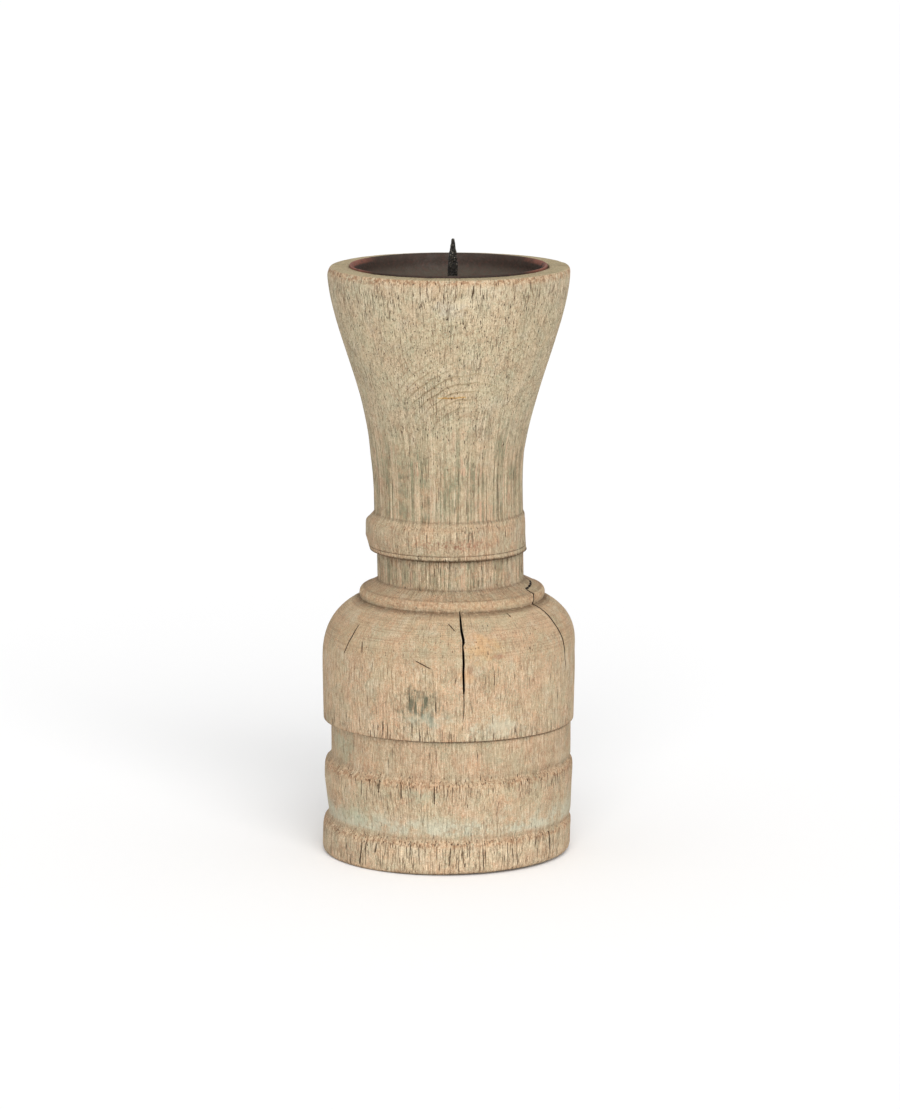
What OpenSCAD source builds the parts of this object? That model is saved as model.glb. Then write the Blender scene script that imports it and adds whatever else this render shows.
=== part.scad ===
// Wooden pricket candlestick, turned from one piece of old timber.
// Units are millimetres, +Z is up, and the origin is the middle of the foot's underside.
// The rings of the column are slightly off one another's centres, as a worn hand-turned leg is,
// so each ring has a sideways shift of its own.

/* [Foot and band] */
// Radius of the foot ring at its widest
foot_r = 61.5; // [61:0.1:62]
// Height of the foot ring
foot_h = 17.3; // [14:0.1:24]
// Height of the foot ring's worn upper edge
foot_edge_h = 5.2; // [2:0.1:8]
// Depth of the foot ring's worn upper edge
foot_edge_d = 1.2; // [0.5:0.1:1.3]
// Roundness of the foot ring's lower edge
foot_toe = 1.2; // [0.5:0.1:2]
// Sideways shift of the foot ring
foot_shift = -0.9; // [-1:0.1:0]
// Radius of the band at its upper end
band_r = 61.5; // [61:0.1:62]
// How much narrower the band is at its lower end
band_taper = 1.5; // [1.3:0.1:2]
// Height of the band
band_h = 30.5; // [24:0.5:40]
// Height of the band's worn upper edge
band_edge_h = 8; // [4:1:12]
// Depth of the band's worn upper edge
band_edge_d = 1.9; // [1:0.1:2]
// Sideways shift of the band
band_shift = 0.1; // [-0.2:0.1:0.2]

/* [Waist and shoulder] */
// Radius of the plain waist above the band
waist_r = 59.3; // [58:0.1:59.4]
// Height of the waist
waist_h = 18.5; // [12:0.5:24]
// Sideways shift of the waist
waist_shift = 1.2; // [0.5:0.1:1.4]
// Radius of the shoulder block at its widest, the widest part of the column
shoulder_r = 62.5; // [62.3:0.1:64]
// Radius of the shoulder block at its lower end
shoulder_foot_r = 61.9; // [61.8:0.1:62.2]
// Height of the shoulder block's straight side
shoulder_side_h = 33.7; // [26:0.1:42]
// Height of the dome on the shoulder block
shoulder_dome_h = 26.6; // [22:0.1:32]
// How far the dome draws in from the side to the bead
shoulder_dome_in = 15.4; // [13:0.1:16]
// Size of the small bevel on the shoulder block's lower edge
shoulder_edge = 0.4; // [0.2:0.1:0.6]
// Radius of the bead that lies on the shoulder
bead_r = 45.8; // [45:0.1:46.3]
// Height of the bead's rounded outer face
bead_face_h = 5.4; // [4:0.1:6]
// How far the bead's outer face draws in at its top, where the slope up to the neck begins
bead_face_in = 2.4; // [1.5:0.1:3]
// Height of the bead
bead_h = 9.5; // [8:0.5:12]
// Sideways shift of the bead
bead_shift = 1.4; // [0.5:0.1:1.5]

/* [Neck and collar] */
// Radius of the short neck under the collar
low_neck_r = 36.1; // [34:0.1:37]
// Height of the short neck that shows under the collar
low_neck_h = 14; // [8:0.5:20]
// Sideways shift of the short neck
low_neck_shift = 0.8; // [0:0.1:0.8]
// Radius of the collar
collar_r = 39.4; // [39.3:0.1:42]
// Height of the collar
collar_h = 18; // [15:0.5:24]
// Height of the collar's rounded upper edge
collar_edge_h = 4.7; // [2:0.1:6]
// Depth of the collar's rounded upper edge
collar_edge_d = 1.4; // [0.5:0.1:1.5]
// How much the collar draws in below its middle
collar_taper = 0.9; // [0.5:0.1:1.1]
// Depth of the line cut round the collar near its lower edge
collar_line_d = 0.5; // [0.3:0.1:0.8]
// Sideways shift of the collar
collar_shift = -1.2; // [-1.5:0.1:0]
// Radius of the neck above the collar
neck_r = 36.7; // [34:0.1:37]
// Height of the plain neck above the collar
neck_h = 7.6; // [2:0.1:20]
// Height of the flare, from the plain neck up to the rim
flare_h = 114.3; // [100:0.1:140]
// Sideways shift of the neck
neck_shift = -0.3; // [-0.5:0.1:0]

/* [Rim and bowl] */
// Radius of the rim at its widest
rim_r = 59.2; // [57:0.1:61.5]
// Height of the rim's rounded outer edge
rim_edge_h = 4; // [2:0.5:6]
// Depth of the rim's rounded outer edge
rim_edge_d = 3; // [1:0.5:3]
// Radius of the bowl's mouth, which is the outside of the iron dish
bowl_r = 48.2; // [44:0.1:49]
// Depth of the bowl in the wood
bowl_depth = 13; // [10:0.5:18]
// Radius of the flat floor of the iron dish, where the candle stands
seat_r = 34; // [24:1:36]
// Thickness of the iron dish
dish_t = 1; // [0.6:0.1:1.5]
// Height of the upright lip of the iron dish
dish_lip_h = 4; // [3:0.5:5]
// How far the lip of the dish stands above the wooden rim
dish_rise = 0.8; // [0.2:0.1:1.5]

/* [Pricket] */
// Radius of the pricket's round shank
pricket_r = 2.4; // [2:0.1:3]
// Height of the pricket's tip above the wooden rim
pricket_rise = 13.4; // [8:0.2:30]
// Length of the tapered point
point_len = 12; // [10:1:20]
// Radius of the blunt end of the point
tip_r = 0.55; // [0.4:0.05:0.8]
// Turn of the four flats about the pricket's axis
flat_turn = 20; // [0:5:45]
// Radius of the forged shoulder that holds the dish down
flange_r = 5; // [4:0.5:8]
// Thickness of the forged shoulder
flange_t = 2; // [1.5:0.5:3]
// Radius of the tang that is driven into the wood
tang_r = 2; // [1.5:0.1:2.2]
// Length of the tang in the wood
tang_len = 36; // [20:1:60]
// Sideways shift of the pricket from the middle of the bowl
pricket_shift = 1.9; // [0:0.1:2]

/* [Hidden] */
$fn = 96;

wood = [0.80, 0.71, 0.58];
dish_iron = [0.27, 0.22, 0.19];
black_iron = [0.10, 0.09, 0.08];

// Heights of the joints between the rings, counted up from the table
band_z = foot_h;
waist_z = band_z + band_h;
shoulder_z = waist_z + waist_h;
dome_z = shoulder_z + shoulder_side_h;
bead_z = dome_z + shoulder_dome_h;
low_neck_z = bead_z + bead_h;
collar_z = low_neck_z + low_neck_h;
neck_z = collar_z + collar_h;
flare_z = neck_z + neck_h;
rim_z = flare_z + flare_h;

// Each ring keeps a plain core that runs this far into the ring under it
core_run = 4;
core_r = 30;

// Steps along each kind of curve
edge_steps = 6;
dome_steps = 12;
flare_steps = 20;
cove_steps = 8;

// The flare follows most of an S curve: it opens slowly at first and stops short of upright at the rim
flare_bias = 1.24;
flare_cut = 0.95;

// The dome's outline: how full its curve is, and the share of the whole oval that it uses
dome_fullness = 2.5;
dome_cut = 0.82;

// The shoulder block swells to its full width at this share of its straight side
shoulder_swell = 0.7;

// The bead is widest at this share of its outer face, and is undercut a little where it meets the dome
bead_nose = 0.4;
bead_undercut = 0.54;

// The slope of the bead stops this far short of the neck's side
bead_slope_gap = 0.4;

// The line cut round the collar, up from its lower edge, and the bevel of that edge
collar_line_up = 3;
collar_bevel = 1;

// The dish
seat_z = rim_z - bowl_depth + dish_t;
dish_top_z = rim_z + dish_rise;
lip_foot_z = dish_top_z - dish_lip_h;
bowl_floor_z = rim_z - bowl_depth;
// Space round the tang where it passes through the dish
hole_gap = 0.3;

// A well pressed in the dish takes the forged shoulder, so that the candle's foot lies flat
well_r = flange_r + 0.5;
well_z = seat_z - flange_t;

// The pricket
tip_z = rim_z + pricket_rise;
point_z = tip_z - point_len;
tang_foot_z = well_z - dish_t - tang_len;
tang_bevel = 1;
// The four flats come this near the middle at the tip, as a share of the tip's radius
flat_share = 0.8;

// How far a hollow runs on past the surface that it opens
overshoot = 1;

// Smooth rise from 0 to 1
function ease(t) = t * t * (3 - 2 * t);

// Quarter round: from a point on the side of a ring round to its flat end
function round_edge(r, z, w, h, steps) = [
    for (i = [0 : steps])
        let (a = 90 * i / steps)
        [r - w * (1 - cos(a)), z + h * sin(a)]
];

// Radius of the flare at a share t of its height
function flare_radius(t) =
    neck_r + (rim_r - neck_r) * ease(flare_cut * pow(t, flare_bias)) / ease(flare_cut);

// How far the dome has drawn in at a share t of its height, from 0 to 1: a full-shouldered oval
// that is cut off where the bead begins
function oval_fall(u) = 1 - pow(1 - pow(u, dome_fullness), 1 / dome_fullness);
function dome_fall(t) = oval_fall(dome_cut * t) / oval_fall(dome_cut);

// One ring of the column: its outline turned about its own centre, with a core into the ring below
module ring(shift, z, outline) {
    translate([shift, 0, 0])
        rotate_extrude()
            polygon(concat([[0, z - core_run], [core_r, z - core_run], [core_r, z]], outline));
}

module foot() {
    translate([foot_shift, 0, 0])
        rotate_extrude()
            polygon(concat(
                [[0, 0], [foot_r - foot_toe, 0], [foot_r, foot_toe]],
                round_edge(foot_r, foot_h - foot_edge_h, foot_edge_d, foot_edge_h, edge_steps),
                [[0, foot_h]]
            ));
}

module band() {
    edge_z = waist_z - band_edge_h;
    ring(band_shift, band_z, concat(
        [[band_r - band_taper, band_z]],
        round_edge(band_r, edge_z, band_edge_d, band_edge_h, edge_steps),
        [[0, waist_z]]
    ));
}

module waist() {
    ring(waist_shift, waist_z, [[waist_r, waist_z], [waist_r, shoulder_z], [0, shoulder_z]]);
}

module shoulder() {
    ring(0, shoulder_z, concat(
        [
            [shoulder_foot_r - shoulder_edge, shoulder_z],
            [shoulder_foot_r, shoulder_z + shoulder_edge],
            [shoulder_r, shoulder_z + shoulder_side_h * shoulder_swell]
        ],
        [
            for (i = [0 : dome_steps])
                let (t = i / dome_steps)
                [shoulder_r - shoulder_dome_in * dome_fall(t), dome_z + shoulder_dome_h * t]
        ],
        [[0, bead_z]]
    ));
}

module bead() {
    // A rounded outer face stands on the dome, and a slope runs from its top up to the short neck
    nose_h = bead_face_h * bead_nose;
    ring(bead_shift, bead_z, concat(
        [[bead_r - bead_undercut, bead_z]],
        round_edge(bead_r, bead_z + nose_h, bead_face_in, bead_face_h - nose_h, edge_steps),
        [[low_neck_r + bead_slope_gap, low_neck_z], [0, low_neck_z]]
    ));
}

module low_neck() {
    ring(low_neck_shift, low_neck_z, [
        [low_neck_r, low_neck_z],
        [low_neck_r, collar_z],
        [0, collar_z]
    ]);
}

module collar() {
    line_z = collar_z + collar_line_up;
    low_r = collar_r - collar_taper;
    bulge_z = collar_z + collar_h / 2;
    ring(collar_shift, collar_z, concat(
        [
            [low_r - collar_bevel, collar_z],
            [low_r, collar_z + collar_bevel],
            [low_r, line_z - collar_line_d],
            [low_r - collar_line_d, line_z],
            [low_r, line_z + collar_line_d],
            [collar_r, bulge_z]
        ],
        round_edge(collar_r, neck_z - collar_edge_h, collar_edge_d, collar_edge_h, edge_steps),
        [[0, neck_z]]
    ));
}

module flare() {
    // The S curve ends where the rounded edge of the rim begins
    run = flare_h - rim_edge_h;
    ring(neck_shift, neck_z, concat(
        [[neck_r, neck_z]],
        [for (i = [0 : flare_steps]) [flare_radius(i / flare_steps), flare_z + run * i / flare_steps]],
        round_edge(rim_r, rim_z - rim_edge_h, rim_edge_d, rim_edge_h, edge_steps),
        [[0, rim_z]]
    ));
}

// Outline of the hollow of a dish: upright at the lip, then a cove down to a flat floor
function dish_outline(mouth_r, floor_r, floor_z) = concat(
    [[0, floor_z]],
    [
        for (i = [0 : cove_steps])
            let (a = 90 * i / cove_steps)
            [
                floor_r + (mouth_r - floor_r) * sin(a),
                floor_z + (lip_foot_z - floor_z) * (1 - cos(a))
            ]
    ]
);

// Space that the dish fills in the wood, open at the top, with the well round the pricket
module bowl_space(top_z) {
    rotate_extrude()
        polygon(concat(
            dish_outline(bowl_r, seat_r, bowl_floor_z),
            [[bowl_r, top_z], [0, top_z]]
        ));
    translate([pricket_shift, 0, well_z - dish_t])
        cylinder(r = well_r + dish_t, h = flange_t + dish_t);
}

// Space inside the dish
module dish_space() {
    rotate_extrude()
        polygon(concat(
            dish_outline(bowl_r - dish_t, seat_r, seat_z),
            [[bowl_r - dish_t, dish_top_z + overshoot], [0, dish_top_z + overshoot]]
        ));
    translate([pricket_shift, 0, well_z])
        cylinder(r = well_r, h = flange_t + dish_t);
}

module turned_body() {
    color(wood)
        difference() {
            union() {
                foot();
                band();
                waist();
                shoulder();
                bead();
                low_neck();
                collar();
                flare();
            }
            bowl_space(rim_z + overshoot);
            // Pilot hole for the tang of the pricket
            translate([pricket_shift, 0, tang_foot_z])
                cylinder(r = tang_r, h = tang_len + overshoot);
        }
}

module bowl_liner() {
    color(dish_iron)
        difference() {
            bowl_space(dish_top_z);
            dish_space();
            // Hole that the tang of the pricket passes through
            translate([pricket_shift, 0, well_z - dish_t - overshoot])
                cylinder(r = tang_r + hole_gap, h = dish_t + 2 * overshoot);
        }
}

// The point of the pricket: a round cone with four forged flats, cut off blunt at the tip
module pricket_point() {
    near = tip_r * flat_share;
    flat_angle = atan((pricket_r - near) / point_len);
    slab = 3 * pricket_r;
    difference() {
        cylinder(r1 = pricket_r, r2 = tip_r, h = point_len);
        for (side = [0 : 3])
            rotate([0, 0, 90 * side + flat_turn])
                translate([near, -slab, point_len])
                    rotate([0, -flat_angle, 0])
                        translate([0, 0, -2 * point_len])
                            cube([slab, 2 * slab, 3 * point_len]);
    }
}

module pricket() {
    color(black_iron)
        translate([pricket_shift, 0, 0])
            union() {
                translate([0, 0, tang_foot_z])
                    cylinder(r1 = tang_r - tang_bevel, r2 = tang_r, h = tang_bevel);
                translate([0, 0, tang_foot_z + tang_bevel])
                    cylinder(r = tang_r, h = well_z - tang_foot_z - tang_bevel);
                translate([0, 0, well_z])
                    cylinder(r = flange_r, h = flange_t);
                translate([0, 0, seat_z])
                    cylinder(r = pricket_r, h = point_z - seat_z);
                translate([0, 0, point_z])
                    pricket_point();
            }
}

turned_body();
bowl_liner();
pricket();
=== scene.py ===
"""Looks of a wooden pricket candlestick: a turned column of bleached old timber, the blackened
iron dish let into its top, and the forged spike. Lengths in metres unless a name says otherwise."""

import math

import bpy
import numpy as np
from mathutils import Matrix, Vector, noise


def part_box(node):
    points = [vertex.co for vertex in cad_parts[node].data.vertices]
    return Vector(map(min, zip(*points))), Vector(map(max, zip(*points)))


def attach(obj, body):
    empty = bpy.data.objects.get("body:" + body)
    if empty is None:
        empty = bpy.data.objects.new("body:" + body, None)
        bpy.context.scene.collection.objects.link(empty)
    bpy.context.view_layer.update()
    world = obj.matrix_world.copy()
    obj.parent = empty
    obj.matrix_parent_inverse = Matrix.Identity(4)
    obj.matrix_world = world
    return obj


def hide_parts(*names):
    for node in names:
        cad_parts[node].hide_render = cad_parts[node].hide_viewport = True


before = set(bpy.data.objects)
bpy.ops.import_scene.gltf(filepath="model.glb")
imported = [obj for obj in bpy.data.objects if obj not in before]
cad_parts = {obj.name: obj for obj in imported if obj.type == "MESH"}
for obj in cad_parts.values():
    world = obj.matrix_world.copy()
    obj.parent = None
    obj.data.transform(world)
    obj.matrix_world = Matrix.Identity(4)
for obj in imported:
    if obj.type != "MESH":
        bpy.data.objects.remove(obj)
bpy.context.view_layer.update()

MM = 0.001

# Heights up the column, in millimetres from the table
WAIST_TOP = 66.3
SIDE_TOP = 100.0
FLARE_FOOT = 176.0
RIM_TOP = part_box("turned_body")[1].z / MM
DISH_FLOOR = RIM_TOP - 12.0

# Radii of the rings, in millimetres
FOOT_R = 61.5
BAND_R = 61.5
WAIST_R = 59.3
SHOULDER_R = 62.4
BEAD_R = 45.8
LOW_NECK_R = 36.1
COLLAR_R = 39.4
NECK_R = 36.75
BOWL_R = 48.2

# The middle of the column wanders sideways a little: (height, shift to the right) in millimetres
WANDER = [
    (0, -1.1), (12, -0.8), (17, -0.3), (20, 0.6), (36, -0.1), (47, 0.2), (49, 1.2), (65.8, 1.2),
    (66.3, 0.0), (101, 0.1), (113, 1.1), (119, 1.5), (127, 1.7), (134, 1.9), (137, 1.0),
    (150.2, 0.8), (150.6, -0.2), (158, -1.5), (165, -1.5), (168.5, 0.1), (199, -0.7),
    (225, 0.2), (286, 0.1), (290, 0.6),
]

# How deep the grain stands out as ridges (height, share), most on the two necks
FLUTED = [
    (0, 0.12), (17, 0.12), (48, 0.1), (66, 0.15), (100, 0.1), (126, 0.08), (136, 0.1), (138, 0.8),
    (150, 0.8), (150.4, 0.15), (168, 0.15), (170, 1.0), (192, 0.95), (212, 0.5), (230, 0.06),
    (290, 0.04),
]

# How many short splits stand open in the end of the grain (height, share), most near sharp edges
CHECKED = [
    (0, 0.7), (12, 1.0), (17, 0.9), (18, 0.15), (34, 0.25), (43, 1.0), (47, 0.7), (49, 0.05),
    (66.2, 0.12), (66.5, 1.0), (73, 0.35), (80, 0.15), (126, 0.2), (150.4, 0.7), (153, 0.3),
    (161, 0.3), (167, 0.6), (170, 0.15), (205, 0.3), (220, 0.55), (262, 0.55), (280, 0.8),
    (288, 0.8), (290, 0.3),
]

# Where hands and shelves have rubbed the edges pale and orange, and nicked them; the pale orange on the
# upward-facing edges is partly a painted highlight (height, share)
RUBBED_AND_HIGHLIT = [
    (0, 0.4), (3, 0.1), (13, 0.0), (15.4, 0.7), (17.2, 0.3), (18.5, 0.0), (42, 0.0), (44.6, 0.7),
    (46.5, 0.3), (48, 0.0), (66.4, 0.0), (66.8, 0.3), (68, 0.0), (128, 0.0), (129.5, 0.5), (132, 0.3),
    (134, 0.0), (164, 0.0), (166, 0.25), (168, 0.1), (169, 0.0), (285.8, 0.0), (288.4, 0.8),
    (289.8, 0.6), (290, 0.1),
]

# Painted shade in the corners between the rings: brown darkening where shade falls in the creases (height,
# share)
SHADED_CREASES = [
    (0, 0.4), (1.2, 0.0), (17.0, 0.0), (18.2, 0.35), (20, 0.0), (47.0, 0.0), (48.4, 0.3), (50, 0.1),
    (52, 0.0), (65.3, 0.0), (65.9, 1.0), (66.4, 0.7), (66.6, 0.0), (126.5, 0.0), (126.9, 1.0),
    (127.3, 0.5), (127.6, 0.0), (132.0, 0.0), (132.4, 0.4), (132.9, 0.1), (135.5, 0.2), (136.2, 0.8),
    (137.0, 0.0), (149.2, 0.0), (149.9, 1.0), (150.7, 1.0), (150.9, 0.0), (152.7, 0.0), (153.0, 0.9),
    (153.3, 0.0), (168.7, 0.0), (169.3, 0.55), (170.0, 0.0), (290, 0.0),
]

# The three long splits: (height in mm, degrees from the front to the right, half width in mm)
FRONT_SPLIT = [
    (77.0, 6.6, 0.0), (78.5, 6.6, 0.08), (84.0, 6.9, 0.14), (90.0, 6.8, 0.14), (91.5, 6.8, 0.44),
    (104.7, 6.4, 0.5), (111.0, 5.8, 0.46), (113.2, 5.5, 0.2), (115.5, 5.9, 0.62), (120.5, 4.8, 0.5),
    (126.0, 4.7, 0.34), (127.8, 4.7, 0.0),
]
SIDE_SPLIT = [
    (93.5, 67.2, 0.0), (96.5, 66.8, 0.2), (109.8, 64.0, 0.4), (118.5, 61.3, 0.4), (124.6, 61.3, 0.4),
    (127.7, 60.5, 0.45), (131.0, 61.8, 0.45), (132.1, 62.9, 0.45), (133.4, 62.8, 0.4),
    (134.2, 62.8, 0.0),
]
LEFT_SPLIT = [
    (103.5, -56.0, 0.0), (105.6, -55.6, 0.2), (113.7, -53.2, 0.32), (118.4, -52.9, 0.24),
    (120.0, -52.9, 0.0),
]
SPLITS = [FRONT_SPLIT, SIDE_SPLIT, LEFT_SPLIT]
# How far round the column the grain bends with each split, in degrees either side
SPLIT_REACH = [9.0, 50.0, 9.0]

# The side split goes on over the slope of the bead to the neck: (degrees from the front, height in mm)
SIDE_SPLIT_END = [
    (62.8, 133.2), (62.8, 133.8), (69.0, 134.0), (76.0, 134.3), (82.3, 134.5), (87.0, 134.7),
    (90.0, 135.0), (90.0, 137.0),
]

# Single short checks: (degrees from the front, height in mm) at both ends, half width in mm
CHECK_MARKS = [
    ((-45.2, 112.6), (-43.4, 106.6), 0.34), ((-2.7, 123.7), (2.0, 119.7), 0.24),
    ((-16.1, 106.6), (-7.5, 102.3), 0.24), ((33.6, 126.3), (34.6, 124.0), 0.34),
    ((-14.1, 226.5), (-14.7, 216.5), 0.3), ((4.8, 288.0), (5.3, 281.5), 0.32),
    ((-6.5, 45.0), (-6.4, 35.5), 0.36), ((-22.0, 45.0), (-22.0, 36.5), 0.3),
    ((-13.5, 176.0), (-14.0, 203.0), 0.2), ((53.1, 20.2), (56.3, 4.0), 0.45),
    ((1.5, 14.5), (1.2, 4.0), 0.36), ((-42.5, 13.5), (-43.5, 2.0), 0.4),
    ((-40.0, 14.5), (-40.4, 8.0), 0.3), ((-34.2, 14.5), (-34.4, 9.0), 0.4),
    ((-17.0, 15.5), (-17.2, 0.5), 0.34), ((8.5, 7.0), (8.2, 0.0), 0.32),
    ((49.5, 17.0), (50.0, 12.0), 0.3), ((-33.5, 46.0), (-33.6, 39.0), 0.36),
    ((-30.8, 76.0), (-31.0, 67.5), 0.36), ((-33.5, 75.0), (-33.6, 68.5), 0.3),
    ((-16.5, 76.0), (-16.6, 67.5), 0.3),
]
# Two small worm holes in the foot, given in the same way
HOLE_MARKS = [((-41.5, 14.0), (-41.0, 13.8), 0.55), ((-39.2, 12.4), (-38.8, 12.5), 0.5)]

# The forged point of the spike: (distance below the tip, half width) in mm
SPIKE_WIDTHS = [
    (0.0, 0.3), (0.15, 0.5), (0.5, 0.68), (1.5, 0.88), (4.2, 1.22), (6.9, 1.66), (9.1, 2.05),
    (11.6, 2.16), (12.4, 2.32), (18.0, 2.38), (26.0, 2.4),
]


# ---------------------------------------------------------------- outlines

def straight(start, end, steps):
    """Points from start up to, and not with, end."""
    return [tuple(a + (b - a) * i / steps for a, b in zip(start, end)) for i in range(steps)]


def rounded(start, end, steps, level_first=False, fullness=2.0):
    """Quarter of an oval from start to end, upright at the start unless it is level first."""
    points = []
    for i in range(steps):
        turn = math.radians(90 * i / steps)
        rise = math.sin(turn) ** (2 / fullness)
        draw = 1 - math.cos(turn) ** (2 / fullness)
        across, up = (rise, draw) if level_first else (draw, rise)
        points.append((start[0] + (end[0] - start[0]) * across, start[1] + (end[1] - start[1]) * up))
    return points


def ease(t):
    """Smooth rise from 0 to 1."""
    return t * t * (3 - 2 * t)


def ledge(start, end):
    """A worn ledge: a rounded edge, then a small cove up to the side of the ring above it."""
    draw_in, rise = start[0] - end[0], end[1] - start[1]
    lip = (start[0] - 0.6 * draw_in, start[1] + 0.6 * rise)
    hollow = (end[0], end[1])
    path = rounded(start, lip, 8, fullness=2.3)
    foot = (lip[0] - 0.06 * draw_in, lip[1] + 0.03 * rise)
    path += rounded(foot, hollow, 6, level_first=True, fullness=2.2)
    return path


def dome(radius, foot, draw_in, height, steps, fullness=2.5, cut=0.82):
    """Full-shouldered oval above a straight side, cut off before it lies level."""
    def fall(u):
        return 1 - (1 - u ** fullness) ** (1 / fullness)
    return [
        (radius - draw_in * fall(cut * i / steps) / fall(cut), foot + height * i / steps)
        for i in range(steps)
    ]


def flare(foot, top, steps, bias=1.24, cut=0.97):
    """The long S curve from the neck out to the rim."""
    points = []
    for i in range(steps):
        height = foot + (top - foot) * i / steps
        share = max(0.0, (height - FLARE_FOOT) / (RIM_TOP - 2 - FLARE_FOOT))
        points.append((NECK_R + 22.7 * ease(cut * share ** bias), height))
    return points


def column_outline():
    """Radius and height, in millimetres, from the middle of the underside up and over into the bowl."""
    path = [(0, 0)] + straight((25, 0), (57, 0), 3)
    path += rounded((59.8, 0), (FOOT_R, 3.0), 6, level_first=True)
    path += straight((FOOT_R, 3.0), (FOOT_R, 12.0), 7)
    path += ledge((FOOT_R, 12.6), (60.0, 19.4))
    path += straight((60.0, 19.6), (BAND_R, 38), 12)
    path += ledge((BAND_R, 41.0), (WAIST_R, 49.8))
    path += straight((WAIST_R, 50.6), (WAIST_R, 65.2), 8) + [(WAIST_R, 65.2), (59.3, 66.0)]
    path += straight((59.6, WAIST_TOP), (61.4, 66.35), 3) + [(61.75, 66.5), (61.92, 66.9)]
    path += straight((61.95, 68.0), (SHOULDER_R, 92), 12)
    path += straight((SHOULDER_R, 92), (SHOULDER_R, SIDE_TOP), 3)
    path += dome(62.3, SIDE_TOP, 15.4, 26.6, 18)
    path += [(46.3, 126.8), (45.2, 127.0), (45.5, 127.7), (BEAD_R, 128.5)]
    path += rounded((BEAD_R, 129.2), (43.4, 132.3), 6)
    path += straight((43.4, 132.3), (36.9, 135.6), 6)
    path += [(36.3, 136.0), (LOW_NECK_R, 136.8)] + straight((LOW_NECK_R, 138), (LOW_NECK_R, 149.3), 6)
    path += [(LOW_NECK_R, 149.3), (36.1, 150.0), (36.5, 150.3), (38.0, 150.35), (38.55, 150.7)]
    path += [(38.65, 151.6), (38.8, 152.7), (38.5, 153.0), (38.85, 153.3)]
    path += straight((38.95, 154.2), (COLLAR_R, 158), 4) + straight((COLLAR_R, 158), (COLLAR_R, 162.5), 3)
    path += rounded((COLLAR_R, 162.4), (38.75, 165.8), 6, fullness=2.2)
    path += straight((38.75, 165.8), (37.35, 168.8), 5) + [(37.1, 169.1), (36.82, 169.5)]
    path += straight((NECK_R, 170.2), (NECK_R, FLARE_FOOT), 5)
    path += flare(FLARE_FOOT, 286, 44)
    path += rounded((59.2, 285.6), (57.5, RIM_TOP), 9, fullness=2.2)
    path += straight((57.3, RIM_TOP), (BOWL_R + 0.5, RIM_TOP), 5)
    path += [(BOWL_R + 0.4, RIM_TOP), (BOWL_R + 0.1, RIM_TOP - 0.4)]
    path += [(BOWL_R + 0.05, 287), (BOWL_R - 0.6, 284)]
    path += [(42.5, 279), (35, 276.9), (20, 276.8), (0, 276.8)]
    return path


def bowl_outline():
    """The dish, from the edge of the spike's hole over floor, cove and rolled lip, and back underneath."""
    floor = DISH_FLOOR
    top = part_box("bowl_liner")[1].z / MM
    under = 1.0
    outer = BOWL_R - 0.03
    path = [(2.3, floor - 2), (5.0, floor - 2), (5.4, floor - 1.8), (5.5, floor - 0.4), (5.9, floor)]
    path += straight((8, floor), (33, floor), 9)
    path += rounded((33, floor), (45.9, 286.4), 12, level_first=True)
    path += [(45.9, 286.4), (46.1, 288.0), (46.4, 289.2), (46.9, top - 0.5), (47.4, top - 0.12)]
    path += [(47.75, top), (48.05, top - 0.15), (outer, top - 0.5)]
    path += straight((outer, top - 1), (outer, 286.4), 3)
    path += list(reversed(rounded((33, floor - under), (outer, 286.4), 10, level_first=True)))
    path += [(20, floor - under), (7.5, floor - under), (6.5, floor - 1.4), (6.3, floor - 3)]
    path += [(2.3, floor - 3), (2.3, floor - 2)]
    return path


def facings(path):
    """Unit outward direction at each point of an outline, as (outwards, up)."""
    points = np.array(path, float)
    run = np.gradient(points, axis=0)
    out = np.stack([run[:, 1], -run[:, 0]], 1)
    return out / np.maximum(np.hypot(out[:, 0], out[:, 1]), 1e-9)[:, None]


def by_height(table, heights, column=1):
    """What a table gives at some heights, read between its rows."""
    rows = np.array(table, float)
    return np.interp(heights, rows[:, 0], rows[:, column])


# ---------------------------------------------------------------- meshes

def add_object(name, data):
    made = bpy.data.objects.new(name, data)
    bpy.context.scene.collection.objects.link(made)
    return made


def point_object(name, points, fields):
    """Loose points with named values, for a node tree to read."""
    mesh = bpy.data.meshes.new(name)
    mesh.from_pydata([tuple(p) for p in points], [], [])
    for field, values in fields.items():
        values = np.asarray(values, np.float32)
        kind, key = ("FLOAT_VECTOR", "vector") if values.ndim == 2 else ("FLOAT", "value")
        mesh.attributes.new(field, kind, "POINT").data.foreach_set(key, values.ravel())
    made = add_object(name, mesh)
    made.hide_render = True
    return made


def outline_object(name, path, tables=None, splits=()):
    """An outline as points (radius, shift, height) in metres, with what the surface does at each."""
    radius, height = np.array(path, float).T
    out = facings(path)
    none = np.zeros(len(path))

    def share(key):
        return by_height(tables[key], height) if tables else none

    turn = np.zeros((len(path), 3))
    width = np.full((len(path), 3), -1.0)
    for k, split in enumerate(splits):
        low, high = split[0][0], split[-1][0]
        middle = np.mean([row[1] for row in split])
        nearby = np.clip((np.minimum(height - low, high - height) + 30) / 30, 0, 1)
        turn[:, k] = np.radians(by_height(split, height, 1) - middle) * nearby
        inside = (height >= low) & (height <= high)
        width[:, k] = np.where(inside, by_height(split, height, 2), -1.0)
    shift = share("wander")
    fields = {
        "facing": np.stack([out[:, 0], none, out[:, 1]], 1),
        "marks": np.stack([share("rubbed_and_highlit"), share("shaded_creases"), share("checked")], 1),
        "fluting": share("fluted"),
        "split_turn": turn,
        "split_width": width * MM,
    }
    return point_object(name, np.stack([radius, shift, height], 1) * MM, fields)


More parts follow.
